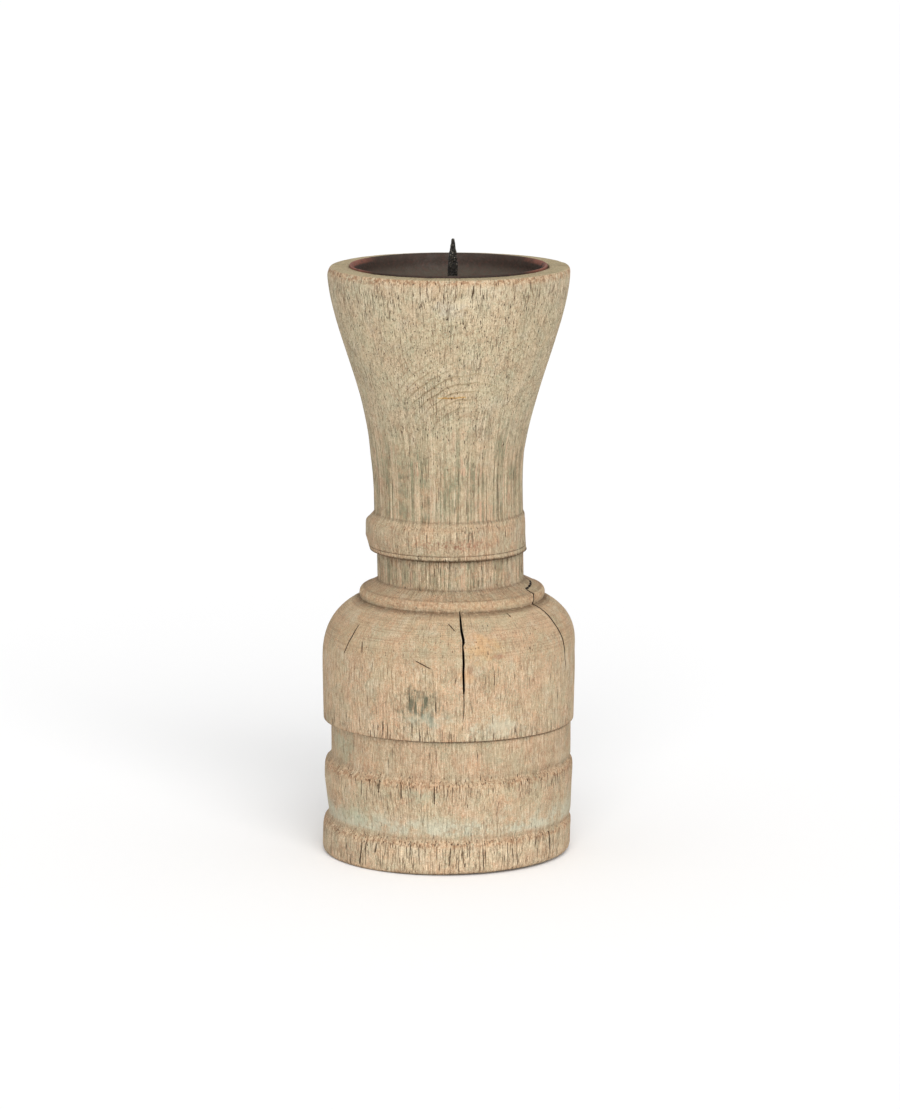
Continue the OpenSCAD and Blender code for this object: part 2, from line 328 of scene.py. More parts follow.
def circle_object(name, sides, splits):
    """Directions round the column, closer together at each split, as points (angle, 0, 0)."""
    angles = list(np.linspace(-180, 180, sides + 1))
    middles = [np.mean([row[1] for row in split]) for split in splits]
    for middle in middles:
        angles = [a for a in angles if abs(a - middle) > 1.3]
        fine = np.array([0.0, 0.2, 0.33, 0.43, 0.52, 0.66, 0.85, 1.1])
        angles += list(middle + np.concatenate([-fine[:0:-1], fine]))
    angles = np.array(sorted(angles))
    share = np.zeros((len(angles), 3))
    across = np.full((len(angles), 3), math.pi)
    for k, (middle, reach) in enumerate(zip(middles, SPLIT_REACH)):
        nearness = np.clip((reach - np.abs(angles - middle)) / (reach - 2), 0, 1)
        share[:, k] = [ease(t) for t in nearness]
        across[:, k] = np.radians(angles - middle)
    turned = np.stack([np.radians(angles), 0 * angles, 0 * angles], 1)
    return point_object(name, turned, {"share": share, "across": across})


# ---------------------------------------------------------------- node trees

class Net:
    """Builds one node tree: adds nodes, joins them, and keeps common sums short."""

    def __init__(self, tree):
        self.tree = tree

    def feed(self, socket, value):
        """Joins an output to a socket, or sets the socket's own value."""
        if isinstance(value, bpy.types.NodeSocket):
            self.tree.links.new(value, socket)
        elif value is not None:
            socket.default_value = value

    def node(self, kind, feeds=None, **settings):
        """A new node, with its settings made first and its inputs fed by name or by number."""
        made = self.tree.nodes.new(kind)
        for name, value in settings.items():
            setattr(made, name, value)
        for key, value in (feeds or {}).items():
            socket = made.inputs[key] if isinstance(key, int) else self.pick(made.inputs, key)
            self.feed(socket, value)
        return made

    @staticmethod
    def pick(sockets, name):
        return next(s for s in sockets if s.enabled and s.name == name)

    @staticmethod
    def out(made):
        return next(s for s in made.outputs if s.enabled)

    def math(self, operation, *values, clamp=False):
        feeds = dict(enumerate(values))
        return self.node("ShaderNodeMath", feeds, operation=operation, use_clamp=clamp).outputs[0]

    def times(self, *values):
        product = values[0]
        for value in values[1:]:
            product = self.math("MULTIPLY", product, value)
        return product

    def vector(self, operation, *values):
        made = self.node("ShaderNodeVectorMath", dict(enumerate(values)), operation=operation)
        gives_number = operation in ("LENGTH", "DOT_PRODUCT", "DISTANCE")
        return made.outputs["Value"] if gives_number else made.outputs[0]

    def scaled(self, vector, x, y, z):
        return self.vector("MULTIPLY", vector, (x, y, z))

    def mapped(self, vector, scale, shift=(0.0, 0.0, 0.0)):
        """A place scaled, then moved."""
        feeds = {"Vector": vector, "Location": shift, "Scale": scale}
        return self.node("ShaderNodeMapping", feeds).outputs[0]

    def join(self, x, y, z):
        return self.node("ShaderNodeCombineXYZ", {0: x, 1: y, 2: z}).outputs[0]

    def split(self, vector):
        return self.node("ShaderNodeSeparateXYZ", {0: vector}).outputs

    def fade(self, value, low, high):
        """Smooth rise from 0 to 1 between two levels of a value, or fall if the first is the higher."""
        feeds = {"Value": value, "From Min": low, "From Max": high}
        return self.out(self.node("ShaderNodeMapRange", feeds, interpolation_type="SMOOTHSTEP"))

    def noise(self, vector, scale, detail=2.0, roughness=0.5):
        feeds = {"Vector": vector, "Scale": scale, "Detail": detail, "Roughness": roughness}
        return self.node("ShaderNodeTexNoise", feeds).outputs[0]

    def band(self, value, middle, half):
        """A narrow band about one level of a slowly changing value."""
        return self.fade(self.math("ABSOLUTE", self.math("SUBTRACT", value, middle)), half, half * 0.3)

    def ramp(self, value, stops):
        """Colour that changes smoothly between stops of (value, colour)."""
        low, high = stops[0][0], stops[-1][0]
        made = self.node("ShaderNodeValToRGB", {0: self.out(self.node("ShaderNodeMapRange", {
            "Value": value, "From Min": low, "From Max": high}))})
        band = made.color_ramp
        band.interpolation = "EASE"
        while len(band.elements) < len(stops):
            band.elements.new(1.0)
        for element, (at, tint) in zip(band.elements, stops):
            element.position = (at - low) / (high - low)
            element.color = tint
        return made.outputs[0]

    def mix(self, share, first, second):
        feeds = {"Factor": share, "A": first, "B": second}
        return self.out(self.node("ShaderNodeMix", feeds, data_type="RGBA"))


def new_tree(name, kind, inputs, outputs):
    """A node group with named sockets: a number makes a number socket, None or three numbers a vector,
    and a word names the type. Returns its net, the group's input sockets and its output node."""
    tree = bpy.data.node_groups.new(name, kind)
    for direction, sockets in (("INPUT", inputs), ("OUTPUT", outputs)):
        for label, value in sockets.items():
            word = value if isinstance(value, str) else "Float" if isinstance(value, float) else "Vector"
            socket = tree.interface.new_socket(name=label, in_out=direction, socket_type="NodeSocket" + word)
            if word in ("Float", "Vector") and value:
                socket.default_value = value
    net = Net(tree)
    given = net.node("NodeGroupInput").outputs
    result = net.node("NodeGroupOutput")
    return net, given, result


def turning_tree():
    """Geometry nodes that turn an outline about the upright axis and weather what comes out."""
    net, given, result = new_tree("turn_outline", "GeometryNodeTree", {
        "Outline": "Object",
        "Circle": "Object",
        "Sag": 0.0003,
        "Sag size": 0.04,
        "Lumps": 0.0001,
        "Lump size": 0.008,
        "Flute depth": 0.0004,
        "Flute width": 0.0024,
        "Nicks": 0.0005,
        "Split slope": 12.0,
        "Split depth": 0.005,
        "Heel lift": 0.0,
        "Finish": "Material",
    }, {"Geometry": "Geometry"})

    def points_of(socket):
        return net.node("GeometryNodeObjectInfo", {"Object": given[socket]}).outputs["Geometry"]

    def count_of(geometry):
        return net.node("GeometryNodeAttributeDomainSize", {"Geometry": geometry}).outputs["Point Count"]

    def sample(geometry, index, value, kind="FLOAT_VECTOR"):
        feeds = {"Geometry": geometry, "Value": value, "Index": index}
        return net.out(net.node("GeometryNodeSampleIndex", feeds, data_type=kind))

    def named(geometry, index, name, kind="FLOAT_VECTOR"):
        value = net.out(net.node("GeometryNodeInputNamedAttribute", {"Name": name}, data_type=kind))
        return sample(geometry, index, value, kind)

    def store(geometry, name, value, kind="FLOAT"):
        feeds = {"Geometry": geometry, "Name": name, "Value": value}
        made = net.node("GeometryNodeStoreNamedAttribute", feeds, data_type=kind, domain="POINT")
        return made.outputs[0]

    rows_in, columns_in = points_of("Outline"), points_of("Circle")
    rows, columns = count_of(rows_in), count_of(columns_in)
    sheet = net.node("GeometryNodeMeshGrid", {"Vertices X": rows, "Vertices Y": columns}).outputs["Mesh"]
    index = net.node("GeometryNodeInputIndex").outputs[0]
    row = net.math("FLOOR", net.math("DIVIDE", net.math("ADD", index, 0.5), columns))
    column = net.math("SUBTRACT", index, net.times(row, columns))
    here = net.node("GeometryNodeInputPosition").outputs[0]

    # Where this point lies on the outline, and which way it looks
    radius, shift, height = net.split(sample(rows_in, row, here))
    facing = net.split(named(rows_in, row, "facing"))
    marks = named(rows_in, row, "marks")
    fluting = named(rows_in, row, "fluting", "FLOAT")
    split_turn = named(rows_in, row, "split_turn")
    split_width = named(rows_in, row, "split_width")
    angle = net.split(sample(columns_in, column, here))[0]
    share = named(columns_in, column, "share")
    across = named(columns_in, column, "across")

    turned = net.math("ADD", angle, net.vector("DOT_PRODUCT", share, split_turn))
    side, front = net.math("SINE", turned), net.times(net.math("COSINE", turned), -1.0)

    def place(reach, rise):
        x = net.math("ADD", shift, net.times(reach, side))
        return net.join(x, net.times(reach, front), rise)

    sound = place(radius, height)

    # Weathering, all of it inwards: slow sag, lumps, ridged grain, and nicks out of the edges
    sagging = net.noise(sound, net.math("DIVIDE", 1.0, given["Sag size"]), 1.0)
    sag = net.times(sagging, given["Sag"])
    lumpy = net.noise(net.scaled(sound, 1, 1, 0.4), net.math("DIVIDE", 1.0, given["Lump size"]), 3.0)
    lumps = net.times(lumpy, given["Lumps"])
    ridge = net.noise(net.scaled(sound, 1, 1, 0.035), net.math("DIVIDE", 1.0, given["Flute width"]), 1.5)
    valley = net.fade(ridge, 0.62, 0.38)
    flutes = net.times(valley, fluting, given["Flute depth"])
    edge = net.times(net.split(marks)[0], net.fade(facing[2], -0.2, 0.15))
    nicked = net.fade(net.noise(net.scaled(sound, 1, 1, 0.6), 170.0, 3.0), 0.5, 0.72)
    nicks = net.times(nicked, edge, given["Nicks"])
    worn = net.math("ADD", net.math("ADD", sag, lumps), net.math("ADD", flutes, nicks))

    # Splits: how far inside the nearest one this point is
    away = net.node("ShaderNodeVectorMath", {0: across}, operation="SCALE")
    net.feed(away.inputs["Scale"], radius)
    inside = net.split(net.vector("SUBTRACT", split_width, net.vector("ABSOLUTE", away.outputs[0])))
    gape = net.math("MAXIMUM", net.math("MAXIMUM", inside[0], inside[1]), inside[2])
    sunk = net.times(net.math("MAXIMUM", gape, 0.0), given["Split slope"])
    sunk = net.math("MINIMUM", sunk, given["Split depth"])

    depth = net.math("ADD", worn, sunk)
    reach = net.math("SUBTRACT", radius, net.times(depth, facing[0]))
    reach = net.math("MAXIMUM", reach, 0.0)
    on_axis = net.math("LESS_THAN", radius, 0.0001)
    reach = net.times(reach, net.math("SUBTRACT", 1.0, on_axis))
    keep = net.math("SUBTRACT", 1.0, on_axis)
    drop = net.times(depth, facing[2], keep)
    rise = net.math("SUBTRACT", height, drop)

    # The heel is worn away under the right-hand front, so the foot stands clear of the table there
    toward = net.math("MAXIMUM", net.math("COSINE", net.math("SUBTRACT", turned, math.radians(55))), 0.0)
    low = net.fade(height, 0.018, 0.0)
    out_there = net.fade(radius, 0.03, 0.06)
    worn_heel = net.times(toward, low)
    lift = net.times(worn_heel, net.times(out_there, given["Heel lift"]))
    rise = net.math("MAXIMUM", net.math("ADD", rise, lift), 0.0)

    set_position = net.node("GeometryNodeSetPosition", {"Geometry": sheet, "Position": place(reach, rise)})
    turned_sheet = set_position.outputs[0]
    turned_sheet = store(turned_sheet, "marks", marks, "FLOAT_VECTOR")
    turned_sheet = store(turned_sheet, "fluting", fluting)
    turned_sheet = store(turned_sheet, "split", gape)
    seam = {"Geometry": turned_sheet, "Distance": 0.01 * MM}
    merged = net.node("GeometryNodeMergeByDistance", seam).outputs[0]
    outward = net.node("GeometryNodeFlipFaces", {"Mesh": merged}).outputs[0]
    smooth = net.node("GeometryNodeSetShadeSmooth", {"Geometry": outward}).outputs[0]
    real = net.node("GeometryNodeRealizeInstances", {"Geometry": smooth}).outputs[0]
    finished = net.node("GeometryNodeSetMaterial", {"Geometry": real, "Material": given["Finish"]})
    net.feed(result.inputs[0], finished.outputs[0])
    return net.tree


def turned_piece(name, tree, outline, circle, finish, **sizes):
    """Runs the turning tree and returns its result as a plain mesh object."""
    host = add_object(name + "_host", bpy.data.meshes.new(name + "_host"))
    modifier = host.modifiers.new("turn", "NODES")
    modifier.node_group = tree
    values = {"Outline": outline, "Circle": circle, "Finish": finish}
    values.update({key.replace("_", " ").capitalize(): value for key, value in sizes.items()})
    for item in tree.interface.items_tree:
        if item.item_type == "SOCKET" and item.in_out == "INPUT" and item.name in values:
            modifier[item.identifier] = values[item.name]
    bpy.context.view_layer.update()
    seen = host.evaluated_get(bpy.context.evaluated_depsgraph_get())
    mesh = bpy.data.meshes.new_from_object(seen)
    host.modifiers.remove(modifier)
    for spare in (host, outline, circle):
        bpy.data.objects.remove(spare)
    mesh.name = name
    return add_object(name, mesh)


# ---------------------------------------------------------------- shared shader groups

def fibre_group():
    """Noise drawn out along the grain and cut to a mask: fibres, pores, dashes and splits."""
    net, given, result = new_tree("drawn_out_noise", "ShaderNodeTree", {
        "Vector": None, "Width": 0.0005, "Length": 0.005,
        "Shift": 0.0, "Detail": 2.0, "Low": 0.5, "High": 0.7,
    }, {"Mask": 0.0})
    wide = net.math("DIVIDE", 1.0, given["Width"])
    long = net.math("DIVIDE", 1.0, given["Length"])
    shift = net.join(given["Shift"], given["Shift"], given["Shift"])
    place = net.mapped(given["Vector"], net.join(wide, wide, long), shift)
    value = net.noise(place, 1.0, given["Detail"])
    net.feed(result.inputs["Mask"], net.fade(value, given["Low"], given["High"]))
    return net.tree


def rings_group():
    """Growth rings of a trunk whose pith runs upright through the piece: dark late-wood lines."""
    net, given, result = new_tree("growth_rings", "ShaderNodeTree", {
        "Vector": None, "Pith": None, "Ring width": 0.002,
        "Waver": 0.5, "Line share": 0.3,
    }, {"Late wood": 0.0})
    flat = net.scaled(net.vector("SUBTRACT", given["Vector"], given["Pith"]), 1, 1, 0.02)
    away = net.math("DIVIDE", net.vector("LENGTH", flat), given["Ring width"])
    wander = net.noise(net.scaled(given["Vector"], 1, 1, 0.3), 90.0, 3.0)
    wander = net.math("SUBTRACT", wander, 0.5)
    wander = net.times(wander, net.times(given["Waver"], 8.0))
    phase = net.math("FRACT", net.math("ADD", away, wander))
    rise = net.fade(phase, net.math("SUBTRACT", 1.0, given["Line share"]), 0.97)
    fall = net.fade(phase, 1.0, 0.97)
    net.feed(result.inputs["Late wood"], net.times(rise, fall))
    return net.tree


def patch_group():
    """One soft ragged patch about a place."""
    net, given, result = new_tree("ragged_patch", "ShaderNodeTree", {
        "Vector": None, "Middle": None, "Reach": (0.01, 0.01, 0.01),
        "Ragged": 0.6, "Size": 0.004,
    }, {"Mask": 0.0})
    away = net.vector("DIVIDE", net.vector("SUBTRACT", given["Vector"], given["Middle"]), given["Reach"])
    torn = net.noise(given["Vector"], net.math("DIVIDE", 1.0, given["Size"]), 4.0, 0.65)
    torn = net.times(net.math("SUBTRACT", torn, 0.5), given["Ragged"])
    far = net.math("ADD", net.vector("LENGTH", away), net.times(torn, 4.0))
    net.feed(result.inputs["Mask"], net.fade(far, 1.2, 0.1))
    return net.tree


def blotch_group():
    """Soft blotches of a size, with a share of the surface covered."""
    net, given, result = new_tree("blotches", "ShaderNodeTree", {
        "Vector": None, "Size": 0.01, "Shift": 0.0, "Detail": 4.0,
        "Low": 0.45, "High": 0.65,
    }, {"Mask": 0.0})
    shift = net.join(given["Shift"], given["Shift"], given["Shift"])
    moved = net.mapped(given["Vector"], (1.0, 1.0, 1.0), shift)
    value = net.noise(moved, net.math("DIVIDE", 1.0, given["Size"]), given["Detail"], 0.6)
    net.feed(result.inputs["Mask"], net.fade(value, given["Low"], given["High"]))
    return net.tree


def line_group():
    """One ragged scratch or check from one place to another, narrow at both ends."""
    net, given, result = new_tree("ragged_line", "ShaderNodeTree", {
        "Vector": None, "From": None, "To": None, "Width": 0.0003,
        "Ragged": 1.0,
    }, {"Mask": 0.0})
    run = net.vector("SUBTRACT", given["To"], given["From"])
    here = net.vector("SUBTRACT", given["Vector"], given["From"])
    along = net.vector("DOT_PRODUCT", here, run)
    share = net.math("DIVIDE", along, net.vector("DOT_PRODUCT", run, run), clamp=True)
    nearest = net.node("ShaderNodeVectorMath", {0: run}, operation="SCALE")
    net.feed(nearest.inputs["Scale"], share)
    away = net.vector("DISTANCE", here, nearest.outputs[0])
    taper = net.times(net.math("SUBTRACT", 1.0, share), net.times(share, 4.0))
    taper = net.math("POWER", net.math("MAXIMUM", taper, 0.0), 0.35)
    half = net.times(given["Width"], net.times(taper, given["Ragged"]))
    net.feed(result.inputs["Mask"], net.fade(net.math("SUBTRACT", half, away), -0.0001, 0.0001))
    return net.tree


def crazing_group():
    """Fine lines of a network of cells, bent by noise and drawn out along the grain."""
    net, given, result = new_tree("crazing", "ShaderNodeTree", {
        "Vector": None, "Size": 0.003, "Shift": 0.0, "Line": 0.1,
    }, {"Mask": 0.0})
    rate = net.math("DIVIDE", 1.0, given["Size"])
    stretch = net.join(rate, rate, net.times(rate, 0.45))
    moved = net.mapped(given["Vector"], stretch, net.join(given["Shift"], given["Shift"], given["Shift"]))
    bent = net.node("ShaderNodeTexNoise", {"Vector": moved, "Scale": 0.6, "Detail": 2.0}).outputs["Color"]
    push = net.scaled(net.vector("SUBTRACT", bent, (0.5, 0.5, 0.5)), 2, 2, 2)
    pushed = net.vector("ADD", moved, push)
    cells = net.node("ShaderNodeTexVoronoi", {"Vector": pushed, "Scale": 1.0}, feature="DISTANCE_TO_EDGE")
    net.feed(result.inputs["Mask"], net.fade(cells.outputs["Distance"], given["Line"], 0.0))
    return net.tree


GROUPS = {
    "fibre": fibre_group(),
    "rings": rings_group(),
    "patch": patch_group(),
    "blotch": blotch_group(),
    "line": line_group(),
    "crazing": crazing_group(),
}


# How brightly the studio lights a surface that faces the camera, which turns looks into pigments
STUDIO_LIGHT = 1.1


def colour(red, green, blue):
    """The pigment of a surface that looks this colour, from 0 to 255, in the studio's light."""
    def pigment(value):
        share = value / 255
        linear = share / 12.92 if share <= 0.04045 else ((share + 0.055) / 1.055) ** 2.4
        return linear / STUDIO_LIGHT
    return (pigment(red), pigment(green), pigment(blue), 1.0)


class Finish:
    """One material in the making: its nodes and shader, and a ground that tints are laid over."""

    def __init__(self, name):
        self.material = bpy.data.materials.new(name)
        self.material.use_nodes = True
        tree = self.material.node_tree
        tree.nodes.clear()
        self.net = Net(tree)
        self.shader = self.net.node("ShaderNodeBsdfPrincipled")
        last = self.net.node("ShaderNodeOutputMaterial")
        self.net.feed(last.inputs["Surface"], self.shader.outputs[0])
        self.place = self.net.node("ShaderNodeTexCoord").outputs["Object"]
        self.ground = None

    def attribute(self, name):
        return self.net.node("ShaderNodeAttribute", attribute_name=name)

    def group(self, name, feeds):
        """Places a shared group, feeds its inputs by name, and returns its mask."""
        made = self.net.node("ShaderNodeGroup", node_tree=GROUPS[name])
        for key, value in feeds.items():
            self.net.feed(made.inputs[key], value)
        return made.outputs[0]

    def blotch(self, size, shift, low, high, detail=4.0):
        """Blotches about so many mm wide; a higher low leaves fewer of them."""
        return self.group("blotch", {
            "Vector": self.place, "Size": size * MM, "Shift": shift, "Detail": detail,
            "Low": low, "High": high,
        })

    def lay(self, tint, *masks):
        """Lays a tint over the ground so far, where all the masks are and by as much."""
        self.ground = self.net.mix(self.net.times(*masks), self.ground, colour(*tint))

    def emboss(self, relief, strength, distance):
        feeds = {"Strength": strength, "Distance": distance, "Height": relief}
        bump = self.net.node("ShaderNodeBump", feeds)
        self.net.feed(self.shader.inputs["Normal"], bump.outputs[0])


# ---------------------------------------------------------------- bleached wood

# Where the pith of the old trunk ran, which is where the growth rings centre
PITH = (0.004, -0.016, 0.0)
# Radius of the plain cylinder that the fibres are drawn on
FIBRE_CYLINDER = 55 * MM

# Ground colour by height in mm: warm on the shoulder, cooler and greyer on the neck and flare
# The lighter rows at 64.5 mm, just under the shoulder's overhang, and at 125.5 mm, just under the bead, are
# painted light that lifts the shade there
GROUND = [
    (0, (252, 228, 194)), (15, (250, 226, 191)), (21, (218, 201, 171)), (36, (214, 190, 156)),
    (47, (214, 188, 154)), (58, (202, 175, 142)), (64.5, (218, 191, 158)), (75, (217, 187, 152)),
    (97, (212, 182, 146)), (108, (196, 166, 131)), (120, (194, 163, 128)), (125.5, (218, 188, 152)),
    (130, (217, 189, 152)), (134, (196, 166, 131)), (143, (183, 165, 133)), (158, (190, 165, 134)),
    (166, (204, 184, 152)), (178, (196, 180, 147)), (205, (214, 198, 164)), (222, (220, 206, 173)),
    (262, (214, 201, 167)), (290, (218, 204, 174)),
]

# Blotches laid over the ground, the slow ones first: (size in mm, shift of the noise, level where one
# begins, level where it is full, detail, True if they fade out up the flare, strength, tint)
MOTTLE = [
    (26, 3.1, 0.42, 0.6, 4.0, False, 0.45, (190, 184, 152)),
    (15, 7.7, 0.46, 0.6, 4.0, True, 0.6, (216, 170, 138)),
    (7, 70.0, 0.52, 0.62, 4.0, True, 0.5, (222, 172, 132)),
    (9, 1.3, 0.5, 0.64, 4.0, False, 0.45, (178, 182, 156)),
    (11, 16.3, 0.54, 0.66, 4.0, False, 0.6, (220, 208, 182)),
    (5, 12.9, 0.5, 0.62, 4.0, False, 0.3, (186, 160, 128)),
    (0.8, 5.9, 0.47, 0.6, 3.0, False, 0.35, (236, 218, 186)),
    (0.6, 2.4, 0.5, 0.62, 2.0, False, 0.22, (156, 132, 102)),
]

# Grey-green flames that run up the neck into the flare: (degrees from the front, height in mm),
# half width and half height in mm
FLAMES = [((-23.5, 198), 5, 14), ((40.7, 205), 3.5, 9), ((57, 190), 4.5, 8), ((3, 186), 7, 14)]

# Pale green traces of old paint, given in the same way
PALE_TRACES = [((-62, 57), 9, 7), ((-50, 25), 12, 5), ((-12, 39), 12, 4)]

# Single stains: (degrees from the front, height in mm), half width and half height in mm, raggedness,
# size of the rags in mm, True if drawn out along the grain, strength, tint
STAINS = [
    ((14.4, 111.5), 10, 8, 0.7, 5.0, False, 0.42, (208, 162, 108)),
    ((8.5, 98.5), 5, 4, 0.8, 4.0, False, 0.4, (202, 152, 104)),
    ((22.5, 108.0), 4.5, 2.2, 0.8, 3.0, False, 0.5, (150, 104, 84)),
    ((9.8, 101.5), 2.0, 3.5, 0.8, 3.0, False, 0.5, (140, 96, 72)),
    ((-13.6, 83.8), 12, 10, 0.8, 5.0, True, 0.9, (98, 100, 82)),
    ((-9.5, 77.5), 11, 5, 1.0, 4.0, False, 0.4, (198, 202, 180)),
    ((22.0, 73.0), 14, 6, 1.0, 4.0, False, 0.45, (210, 208, 184)),
]


def on_side(degrees, height):
    """The place on the column's side at so many degrees from the front, at a height in mm."""
    path = np.array([point for point in column_outline() if point[0] > 30])
    radius = np.interp(height, path[:, 1], path[:, 0])
    turn = math.radians(degrees)
    shift = by_height(WANDER, height)
    return ((shift + radius * math.sin(turn)) * MM, -radius * math.cos(turn) * MM, height * MM)


class BleachedWood(Finish):
    """Old hardwood, bleached by sun and scrubbing, with traces of green and pink in the grain."""

    def __init__(self):
        super().__init__("bleached_wood")
        net = self.net
        # The second mark is painted shade in the creases between the rings
        self.edge, self.crease, self.checked = net.split(self.attribute("marks").outputs["Vector"])
        self.fluting = self.attribute("fluting").outputs["Fac"]
        self.split = self.attribute("split").outputs["Fac"]
        across, along, self.height = net.split(self.place)
        # The place on a plain upright cylinder, so that fibres run up the flare unbroken
        outward = net.vector("NORMALIZE", net.join(across, along, 0.0))
        flat = net.scaled(outward, FIBRE_CYLINDER, FIBRE_CYLINDER, FIBRE_CYLINDER)
        self.around = net.vector("ADD", flat, net.join(0.0, 0.0, self.height))
        # How ragged the edges of single checks are
        self.torn = net.math("MULTIPLY_ADD", net.noise(self.place, 900.0, 3.0), 1.6, 0.2)
        # Where on the column a layer shows
        self.flare_part = net.fade(self.height, 0.17, 0.225)
        self.warm_part = net.math("MULTIPLY_ADD", self.flare_part, -0.6, 1.0)
        self.dome_part = net.times(net.fade(self.height, 0.1, 0.11), net.fade(self.height, 0.136, 0.128))

    def fibre(self, width, length, shift, low, high, detail=2.0):
        """Streaks along the grain, so many mm wide and long."""
        return self.group("fibre", {
            "Vector": self.around, "Width": width * MM, "Length": length * MM, "Shift": shift,
            "Detail": detail, "Low": low, "High": high,
        })

    def patch(self, spot, across, up, ragged=0.3, size=4.0):
        """One soft patch at (degrees from the front, height), with its half width and half height in mm."""
        return self.group("patch", {
            "Vector": self.place, "Middle": on_side(*spot), "Reach": (across * MM, 20 * MM, up * MM),
            "Ragged": ragged, "Size": size * MM,
        })

    def line(self, start, end, width):
        return self.group("line", {
            "Vector": self.place, "From": on_side(*start), "To": on_side(*end), "Width": width * MM,
            "Ragged": self.torn,
        })

    def lines(self, marks):
        """All of several lines, each as (start, end, half width)."""
        together = self.line(*marks[0])
        for mark in marks[1:]:
            together = self.net.math("MAXIMUM", together, self.line(*mark))
        return together

    def lay_mottle(self):
        """Ground colours, then slow blotches of grey-green, pink and cream, then fine mottle, then painted
        shade over the dome and the waist.
        """
        net = self.net
        self.ground = net.ramp(self.height, [(z * MM, colour(*tint)) for z, tint in GROUND])
        for size, shift, low, high, detail, fades_up, share, tint in MOTTLE:
            masks = [self.blotch(size, shift, low, high, detail)] + [self.warm_part] * fades_up + [share]
            self.lay(tint, *masks)
        pink = net.times(self.blotch(0.7, 21.4, 0.52, 0.6, 2.0), self.blotch(8, 31.0, 0.42, 0.58))
        self.lay((206, 152, 122), pink, self.warm_part, 0.5)
        green = net.times(self.blotch(0.8, 27.8, 0.52, 0.6, 2.0), self.blotch(9, 37.0, 0.42, 0.58))
        self.lay((160, 168, 140), green, 0.5)
        self.lay((240, 224, 192), self.blotch(0.4, 55.0, 0.56, 0.64, 1.0), 0.5)
        self.lay((138, 110, 82), self.blotch(0.4, 66.0, 0.58, 0.66, 1.0), 0.55)
        # painted shade: the upward-facing top of the dome darkened, as if less lit from above
        self.lay((160, 138, 108), self.dome_part, 0.24)
        # painted shade: the recessed waist between the band and the shoulder darkened
        waist_shade = net.band(self.height, 0.0565, 0.009)
        self.lay((168, 132, 104), waist_shade, 0.16)

    def lay_grain(self):
        """Fibres, the lines of the turning tool, and growth rings."""
        net = self.net
        self.grain_part = net.math("MULTIPLY_ADD", self.dome_part, -0.7, 1.0)
        self.fine = net.times(self.fibre(0.3, 4.0, 0.0, 0.48, 0.58), self.grain_part)
        self.broad = net.times(self.fibre(0.8, 14.0, 51.0, 0.5, 0.62), self.grain_part)
        self.lay((150, 124, 94), self.fine, net.math("MULTIPLY_ADD", self.flare_part, -0.14, 0.36))
        self.lay((166, 142, 112), self.broad, net.math("MULTIPLY_ADD", self.flare_part, -0.14, 0.3))
        self.lay((230, 210, 178), self.fibre(0.35, 5.0, 71.0, 0.54, 0.62), self.grain_part, 0.5)
        turning = self.fibre(30.0, 0.5, 61.0, 0.5, 0.62)
        self.lay((150, 124, 96), turning, net.math("MULTIPLY_ADD", self.dome_part, 0.3, 0.06))
        rings = self.group("rings", {
            "Vector": self.place, "Pith": PITH, "Ring width": 1.3 * MM, "Waver": 0.14, "Line share": 0.34,
        })
        self.lay((160, 140, 106), rings, self.flare_part, self.blotch(16, 41.0, 0.45, 0.58), 0.4)
        self.lay((142, 124, 92), rings, self.patch((-8.0, 233.0), 26, 17, 0.4, 8.0), 0.75)

    def lay_ridges(self):
        """Ridged grain of the two necks: dark valleys, pale and pink crests, and thin furrows."""
        net = self.net
        ridge = net.noise(net.mapped(self.around, (1.0, 1.0, 0.012)), 1 / (1.9 * MM), 1.5)
        valley = net.fade(ridge, 0.56, 0.4)
        self.crest = net.fade(ridge, 0.55, 0.64)
        green = self.blotch(8, 4.4, 0.46, 0.56)
        self.lay((150, 136, 106), valley, self.fluting, 0.35)
        self.lay((132, 138, 112), valley, self.fluting, green, 0.5)
        self.lay((214, 196, 164), self.crest, self.fluting, 0.4)
        self.lay((206, 160, 132), self.crest, self.fluting, self.blotch(9, 8.8, 0.5, 0.58), 0.55)
        self.furrow = net.times(net.band(ridge, 0.45, 0.016), self.fluting, self.blotch(6, 17.0, 0.4, 0.52))
        self.lay((104, 84, 60), self.furrow, 0.65)
        self.lay((228, 210, 180), net.band(ridge, 0.55, 0.018), self.fluting, 0.6)

    def lay_traces(self):
        """Grey-green flames, the greyer top of the rim, and pale traces on the bands and the collar."""
        net = self.net
        streaks = self.fibre(0.8, 12, 3.0, 0.38, 0.56)
        for spot, across, up in FLAMES:
            self.lay((130, 136, 108), self.patch(spot, across, up, 0.5, 5.0), streaks, 0.7)
        self.lay((208, 204, 190), self.patch((0, 276), 9, 5, 0.7, 4.0), 0.4)
        rim_top = net.fade(self.height, 0.2894, 0.2899)
        self.lay((178, 168, 130), rim_top, 0.6)
        flat = net.scaled(self.place, 1, 1, 0)
        circles = net.noise(net.join(net.vector("LENGTH", flat), 0.0, 0.0), 900.0, 3.0)
        self.lay((206, 186, 150), rim_top, net.fade(circles, 0.5, 0.62), 0.45)
        self.lay((150, 128, 98), rim_top, net.fade(circles, 0.46, 0.36), 0.35)
        low_band = net.times(net.fade(self.height, 0.0185, 0.021), net.fade(self.height, 0.031, 0.024))
        self.lay((204, 206, 184), low_band, self.blotch(9, 44.0, 0.36, 0.56), 0.6)
        for spot, across, up in PALE_TRACES:
            self.lay((184, 190, 162), self.patch(spot, across, up, 0.9, 4.0), 0.45)
        speckle = self.blotch(1.3, 80.0, 0.48, 0.56, 3.0)
        self.lay((150, 98, 76), self.patch((6, 158.5), 24, 3.0, 0.8, 2.0), speckle, 0.65)

